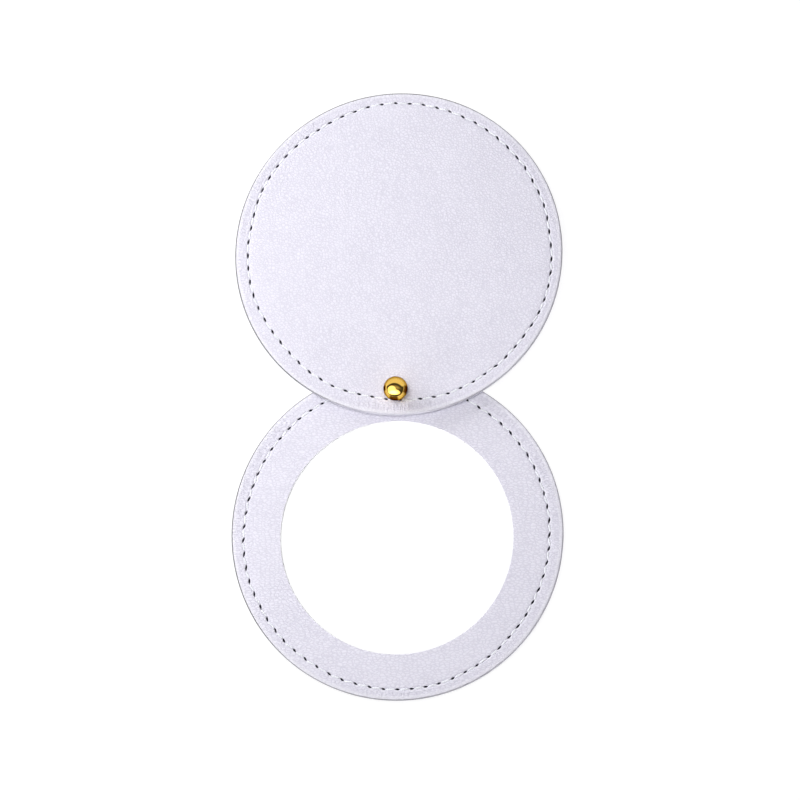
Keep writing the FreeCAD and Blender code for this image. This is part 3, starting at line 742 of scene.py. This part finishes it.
reach = stitch_node("GeometryNodeInputNamedAttribute", {"Name": "reach"}, data_type="FLOAT")
aligned = stitch_node("FunctionNodeAlignRotationToVector", {"Vector": way},
                      axis="X", pivot_axis="Z")
fullness = node(stitches, "FunctionNodeRandomValue", {
    2: LEAST_FULL, 3: MOST_FULL, "Seed": given["Seed"]}, data_type="FLOAT").outputs[1]
size = stitch_node("ShaderNodeCombineXYZ", {"X": reach, "Y": fullness, "Z": 1.0})
laid = stitch_node("GeometryNodeInstanceOnPoints", {
    "Points": given["Geometry"], "Instance": strand.outputs[0], "Rotation": aligned, "Scale": size})
whole = stitch_node("GeometryNodeRealizeInstances", {"Geometry": laid})
smooth = stitch_node("GeometryNodeSetShadeSmooth", {"Geometry": whole})
coloured = stitch_node("GeometryNodeSetMaterial", {"Geometry": smooth, "Material": given["Thread"]})
stitches.links.new(coloured, result.inputs["Geometry"])

thread = mottled_finish("white_thread", 2600.0, (0.6, 0.8), (0.88, 0.89, 0.95), (0.94, 0.95, 0.99),
                        relief=0.00004, Specular_IOR_Level=0.3)
INTO_SLIT = 1.02
TAIL_ASIDE, TAIL_REACH = 0.3, 0.9


def seam_thread(name, node_name, leather, sewn, face_up, proud, seed, doubled=None):
    """The stitches of one seam on one face, as a plain mesh.

    proud is how far the thread stands above the leather; doubled is the hole sewn over twice,
    where the thread's tail lies beside the line."""
    low, high = (np.array(corner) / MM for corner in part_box(leather))
    centre_y = (low[1] + high[1]) / 2
    out = 1 if face_up else -1
    z = (high[2] if face_up else low[2]) + out * (proud - THREAD_RADIUS)
    tangent = np.column_stack((-np.sin(sewn["angles"]), np.cos(sewn["angles"])))
    outward = np.column_stack((np.cos(sewn["angles"]), np.sin(sewn["angles"])))
    hole = outward * sewn["radii"][:, None] + (0, centre_y)
    slit = tangent * np.cos(sewn["slants"])[:, None] + outward * np.sin(sewn["slants"])[:, None]
    tip = INTO_SLIT * sewn["lengths"][:, None]
    start = hole + slit * tip
    end = np.roll(hole - slit * tip, -1, axis=0)
    if doubled is not None:
        aside = TAIL_ASIDE * outward[doubled]
        start = np.vstack((start, start[doubled - 1] + aside))
        end = np.vstack((end, hole[doubled] + TAIL_REACH * tangent[doubled] + aside))
    middle = (start + end) / 2
    span = np.linalg.norm(end - start, axis=1)
    mesh = bpy.data.meshes.new(name)
    mesh.from_pydata(np.column_stack((middle, np.full(len(span), z))) * MM, [], [])
    direction = np.column_stack(((end - start) / span[:, None], np.zeros(len(span))))
    ways = mesh.attributes.new("way", "FLOAT_VECTOR", "POINT")
    ways.data.foreach_set("vector", direction.ravel())
    reaches = mesh.attributes.new("reach", "FLOAT", "POINT")
    reaches.data.foreach_set("value", span * MM / STITCH_LENGTH)
    guide = bpy.data.objects.new(f"{name}_guide", mesh)
    bpy.context.scene.collection.objects.link(guide)
    modifier = guide.modifiers.new("stitches", "NODES")
    modifier.node_group = stitches
    values = {"Thread Radius": THREAD_RADIUS * MM, "Side": float(out), "Seed": seed,
              "Thread": thread}
    for item in stitches.interface.items_tree:
        if item.in_out == "INPUT" and item.name in values:
            modifier[item.identifier] = values[item.name]
    evaluated = guide.evaluated_get(bpy.context.evaluated_depsgraph_get())
    sewn_mesh = bpy.data.meshes.new_from_object(evaluated)
    sewn_mesh.name = name
    guide.modifiers.remove(modifier)
    bpy.data.objects.remove(guide)
    piece = bpy.data.objects.new(name, sewn_mesh)
    bpy.context.scene.collection.objects.link(piece)
    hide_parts(node_name)
    return piece


PROUD, SUNK_PROUD = 0.06, -0.02
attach(seam_thread("mirror_front_stitches", "mirror_needle_thread", "front_leather_ring",
                    mirror_seam, True, PROUD, 3), "mirror_half")
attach(seam_thread("mirror_back_stitches", "mirror_bobbin_thread", "back_leather",
                    mirror_seam, False, SUNK_PROUD, 4), "mirror_half")
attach(seam_thread("cover_front_stitches", "cover_needle_thread", "cover_face_leather",
                    cover_seam, True, PROUD, 5, doubled=SEWN_OVER), "cover_half")
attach(seam_thread("cover_lining_stitches", "cover_bobbin_thread", "cover_lining_leather",
                    cover_seam, False, PROUD, 6), "cover_half")


# Ball stud: turned from brass in one piece with its neck, foot and shank, polished and gold
# plated. The shank passes through both halves and takes a screw from the back. Low on the front
# of the ball the gold carries a painted dark reflection, left out at four places spaced round it,
# where bright streaks of reflection show.
GOLD_DARK, GOLD_LIGHT = (0.90, 0.565, 0.115), (0.94, 0.61, 0.14)
GOLD_DARK_REFLECTION, GOLD_EDGE = (0.10, 0.03, 0.004), (0.12, 0.05, 0.01, 1)
BRIGHT_STREAKS, FIRST_STREAK = 4, math.radians(218)
FOOT_BOTTOM, FOOT_TOP, FOOT_RADIUS, FOOT_ROUND = 5.45, 5.75, 2.25, 0.1
NECK_RADIUS, SHANK_RADIUS, BORE_RADIUS = 1.5, 1.75, 1.05
BALL_TOP_ANGLE, BALL_STEPS, STUD_SPOKES = 87, 48, 144

gold, tree, shader, place = new_finish("gold_plate", Metallic=1.0, Specular_Tint=GOLD_EDGE)
polish = mottled(tree, place, 420.0, 0.05, 0.11)
colour = blend(tree, polish["Share"], GOLD_DARK, GOLD_LIGHT)
# Painted dark reflection: darker low down and on the front, except near the four streaks.
spot = node(tree, "ShaderNodeSeparateXYZ", {0: place}).outputs
low_down = ramp(tree, spot["Z"], 0.0106, 0.0103, 0.0, 0.95)
turn = sums(tree, "MULTIPLY_ADD", sums(tree, "ARCTAN2", spot["Y"], spot["X"]),
            float(BRIGHT_STREAKS), -BRIGHT_STREAKS * FIRST_STREAK)
between_streaks = ramp(tree, sums(tree, "COSINE", turn), 0.5, -0.4)
front_side = ramp(tree, spot["Y"], 0.0009, 0.0002)
painted_dark = sums(tree, "MULTIPLY", sums(tree, "MULTIPLY", low_down, between_streaks), front_side)
tree.links.new(blend(tree, painted_dark, colour, GOLD_DARK_REFLECTION), shader.inputs["Base Color"])
tree.links.new(polish["Value"], shader.inputs["Roughness"])

low, high = (np.array(corner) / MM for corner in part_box("ball_stud"))
ball_radius = (high[0] - low[0]) / 2
ball_centre = high[2] - ball_radius
neck_angle = -math.degrees(math.acos(NECK_RADIUS / ball_radius))
stud_profile = [
    (0, FOOT_BOTTOM), (BORE_RADIUS, FOOT_BOTTOM), (BORE_RADIUS, low[2]), (SHANK_RADIUS, low[2]),
    (SHANK_RADIUS, FOOT_BOTTOM),
    *arc((FOOT_RADIUS - FOOT_ROUND, FOOT_BOTTOM + FOOT_ROUND), FOOT_ROUND, -90, 0, 5),
    *arc((FOOT_RADIUS - FOOT_ROUND, FOOT_TOP - FOOT_ROUND), FOOT_ROUND, 0, 90, 5),
    (NECK_RADIUS, FOOT_TOP),
    *arc((0, ball_centre), ball_radius, neck_angle, BALL_TOP_ANGLE, BALL_STEPS),
    (0, high[2])]
stud = turned("ball_stud_gold", stud_profile, (0, 0), STUD_SPOKES)
stud.data.materials.append(gold)
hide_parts("ball_stud")
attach(stud, "mirror_half")


# Stud screw: a flat-headed slotted screw of the same plated brass, but satin. It goes up into the
# stud's shank from the back, and its head is sunk level with the leather.
satin_gold = mottled_finish("gold_plate_satin", 900.0, (0.16, 0.3), (0.86, 0.54, 0.12),
                            (0.92, 0.60, 0.15), Metallic=1.0)
dress("stud_screw", satin_gold)


# Floor: a plain white table top, which keeps the soft shadow under the discs. It is clear from
# below, and to the light of the lamp there, so that the back can be looked at.
FLOOR_REACH, FLOOR_Z = 3.0, -0.00005
floor_mesh = bpy.data.meshes.new("floor")
corners = [(x * FLOOR_REACH, y * FLOOR_REACH, FLOOR_Z)
           for x, y in ((-1, -1), (1, -1), (1, 1), (-1, 1))]
floor_mesh.from_pydata(corners, [], [(0, 1, 2, 3)])
floor = bpy.data.objects.new("floor", floor_mesh)
bpy.context.scene.collection.objects.link(floor)
white = bpy.data.materials.new("white_table")
white.use_nodes = True
tree = white.node_tree
tree.nodes.clear()
rays = node(tree, "ShaderNodeLightPath").outputs
seen = sums(tree, "MAXIMUM", rays["Is Camera Ray"], rays["Is Glossy Ray"])
seen = sums(tree, "MAXIMUM", seen, rays["Is Transmission Ray"])
plain = node(tree, "ShaderNodeBsdfDiffuse", {"Color": (0.85, 0.85, 0.86, 1)}).outputs[0]
shaded = node(tree, "ShaderNodeBsdfDiffuse", {"Color": (0.22, 0.22, 0.22, 1)}).outputs[0]
lift = node(tree, "ShaderNodeEmission", {"Color": (1, 1, 1, 1), "Strength": 0.86}).outputs[0]
bright = node(tree, "ShaderNodeAddShader", {0: shaded, 1: lift}).outputs[0]
table = node(tree, "ShaderNodeMixShader", {0: seen, 1: plain, 2: bright}).outputs[0]
from_below = node(tree, "ShaderNodeNewGeometry").outputs["Backfacing"]
cleared = sums(tree, "MAXIMUM", from_below, rays["Is Shadow Ray"])
clear = node(tree, "ShaderNodeBsdfTransparent").outputs[0]
table = node(tree, "ShaderNodeMixShader", {0: cleared, 1: table, 2: clear}).outputs[0]
node(tree, "ShaderNodeOutputMaterial", {"Surface": table})
floor_mesh.materials.append(white)


# Studio: a pale room, whose panels, wall and horizon show in the gold, and a plain white in the
# mirror. The light comes from a box overhead, weak strips round the table and a lamp below it.
FROM_ABOVE = (0.087, -0.159, 0.983)
TO_RIGHT, TO_BACK = (0.996, 0.007, -0.085), (0.006, 0.988, 0.154)
PANEL, PANEL_CORE, WALL, DUSK, HORIZON = 1.7, 3.5, 0.9, 0.42, 0.5
LEAST_REFLECTED, AMBIENT = 0.06, 0.03
world = bpy.data.worlds.new("pale_room")
bpy.context.scene.world = world
world.use_nodes = True
tree = world.node_tree
tree.nodes.clear()
rays = node(tree, "ShaderNodeLightPath").outputs
way = node(tree, "ShaderNodeTexCoord").outputs["Generated"]
heading = node(tree, "ShaderNodeSeparateXYZ", {0: way}).outputs
# A ball seen from above shows a panel where its surface faces half way towards that panel, and
# the panels are placed by this spot on the ball, across and along.
half_way = vectors(tree, "NORMALIZE", vectors(tree, "ADD", way, FROM_ABOVE))
across = vectors(tree, "DOT_PRODUCT", half_way, TO_RIGHT, result="Value")
along = vectors(tree, "DOT_PRODUCT", half_way, TO_BACK, result="Value")


def oval(centre, halves, tilt):
    """Distance from the middle of a slanted oval panel, 1 at its edge."""
    flat = node(tree, "ShaderNodeCombineXYZ", {"X": sums(tree, "ADD", across, -centre[0]),
                                               "Y": sums(tree, "ADD", along, -centre[1])})
    level = node(tree, "ShaderNodeVectorRotate", {
        "Vector": flat.outputs[0], "Angle": math.radians(-tilt)}, rotation_type="Z_AXIS")
    scaled = vectors(tree, "MULTIPLY", level.outputs[0], (1 / halves[0], 1 / halves[1], 1))
    return vectors(tree, "LENGTH", scaled, result="Value")


panel = sums(tree, "MAXIMUM",
             ramp(tree, oval((-0.31, -0.12), (0.36, 0.37), 0), 0.82, 1.02, PANEL, 0.0),
             ramp(tree, oval((0.0, -0.28), (0.43, 0.23), -12), 0.75, 1.02, PANEL, 0.0))
core = ramp(tree, oval((-0.17, -0.32), (0.5, 0.24), -4), 0.35, 1.0, PANEL_CORE, 0.0)
off_middle = sums(tree, "ADD", across, 0.1)
bow = sums(tree, "MULTIPLY", sums(tree, "MULTIPLY", off_middle, off_middle), 0.75)
bowed = sums(tree, "ADD", along, bow)
wall = sums(tree, "MULTIPLY", ramp(tree, bowed, 0.42, 0.50, 0.0, WALL),
            ramp(tree, along, 0.1, 0.25))
horizon = sums(tree, "MULTIPLY", ramp(tree, heading["Z"], 0.0, 0.15, HORIZON, 0.0),
               ramp(tree, heading["Y"], -0.7, -0.1))
dusk = sums(tree, "MULTIPLY", ramp(tree, bowed, 0.14, 0.34, DUSK, 0.0),
            ramp(tree, along, -0.15, 0.05))
dusk = sums(tree, "MULTIPLY", dusk, ramp(tree, across, 0.15, 0.5, 1.0, 0.25))
reflected = sums(tree, "MAXIMUM", wall, horizon)
for glow in (panel, core, dusk, LEAST_REFLECTED):
    reflected = sums(tree, "ADD", reflected, glow)
pale = ramp(tree, heading["Z"], 0.1, 0.6, 0.78, 1.06)
reflected = node(tree, "ShaderNodeMix", {"Factor": rays["Is Singular Ray"], "A": reflected,
                                         "B": pale}).outputs[0]
ambient, mirrored, backdrop = (
    node(tree, "ShaderNodeBackground", {"Color": (1, 1, 1, 1), "Strength": strength}).outputs[0]
    for strength in (AMBIENT, reflected, 1.0))
polished = sums(tree, "MAXIMUM", rays["Is Glossy Ray"], rays["Is Transmission Ray"])
room = node(tree, "ShaderNodeMixShader", {0: polished, 1: ambient, 2: mirrored}).outputs[0]
shown = node(tree, "ShaderNodeMixShader", {0: rays["Is Camera Ray"], 1: room, 2: backdrop})
node(tree, "ShaderNodeOutputWorld", {"Surface": shown.outputs[0]})

for name, place, width, depth, power in (
        ("top_box", (-0.01, 0.002, 0.27), 0.16, 0.16, 0.456),
        ("left_strip", (-0.15, -0.025, 0.08), 0.3, 0.08, 0.055),
        ("left_back_strip", (-0.24, 0.2, 0.12), 0.4, 0.15, 1.21),
        ("left_front_strip", (-0.306, -0.347, 0.12), 0.4, 0.15, 0.53),
        ("right_front_strip", (0.235, -0.2, 0.07), 0.3, 0.07, 0.22),
        ("under_box", (0.1, -0.1, -0.4), 0.3, 0.3, 1.2)):
    light = bpy.data.lights.new(name, "AREA")
    light.shape = "RECTANGLE"
    light.size = width
    light.size_y = depth
    light.energy = power
    lamp = bpy.data.objects.new(name, light)
    bpy.context.scene.collection.objects.link(lamp)
    lamp.location = place
    lamp.rotation_euler = (-Vector(place)).to_track_quat("-Z", "Y").to_euler()
    lamp.visible_camera = False
    lamp.visible_glossy = False


# Camera: nearly overhead with a long lens, a little towards the mirror half and to its right.
# Its turn and place stand in the matrix, in metres.
view = bpy.data.cameras.new("camera")
view.lens = 108
view.sensor_width = 36
camera = bpy.data.objects.new("camera", view)
bpy.context.scene.collection.objects.link(camera)
camera.matrix_world = Matrix((
    (0.996358, 0.005877, 0.085062, 0.051265),
    (0.007343, 0.988001, -0.154276, -0.0938),
    (-0.084948, 0.154339, 0.984359, 0.58877),
    (0, 0, 0, 1)))
bpy.context.scene.camera = camera
bpy.context.scene.view_settings.view_transform = "Standard"
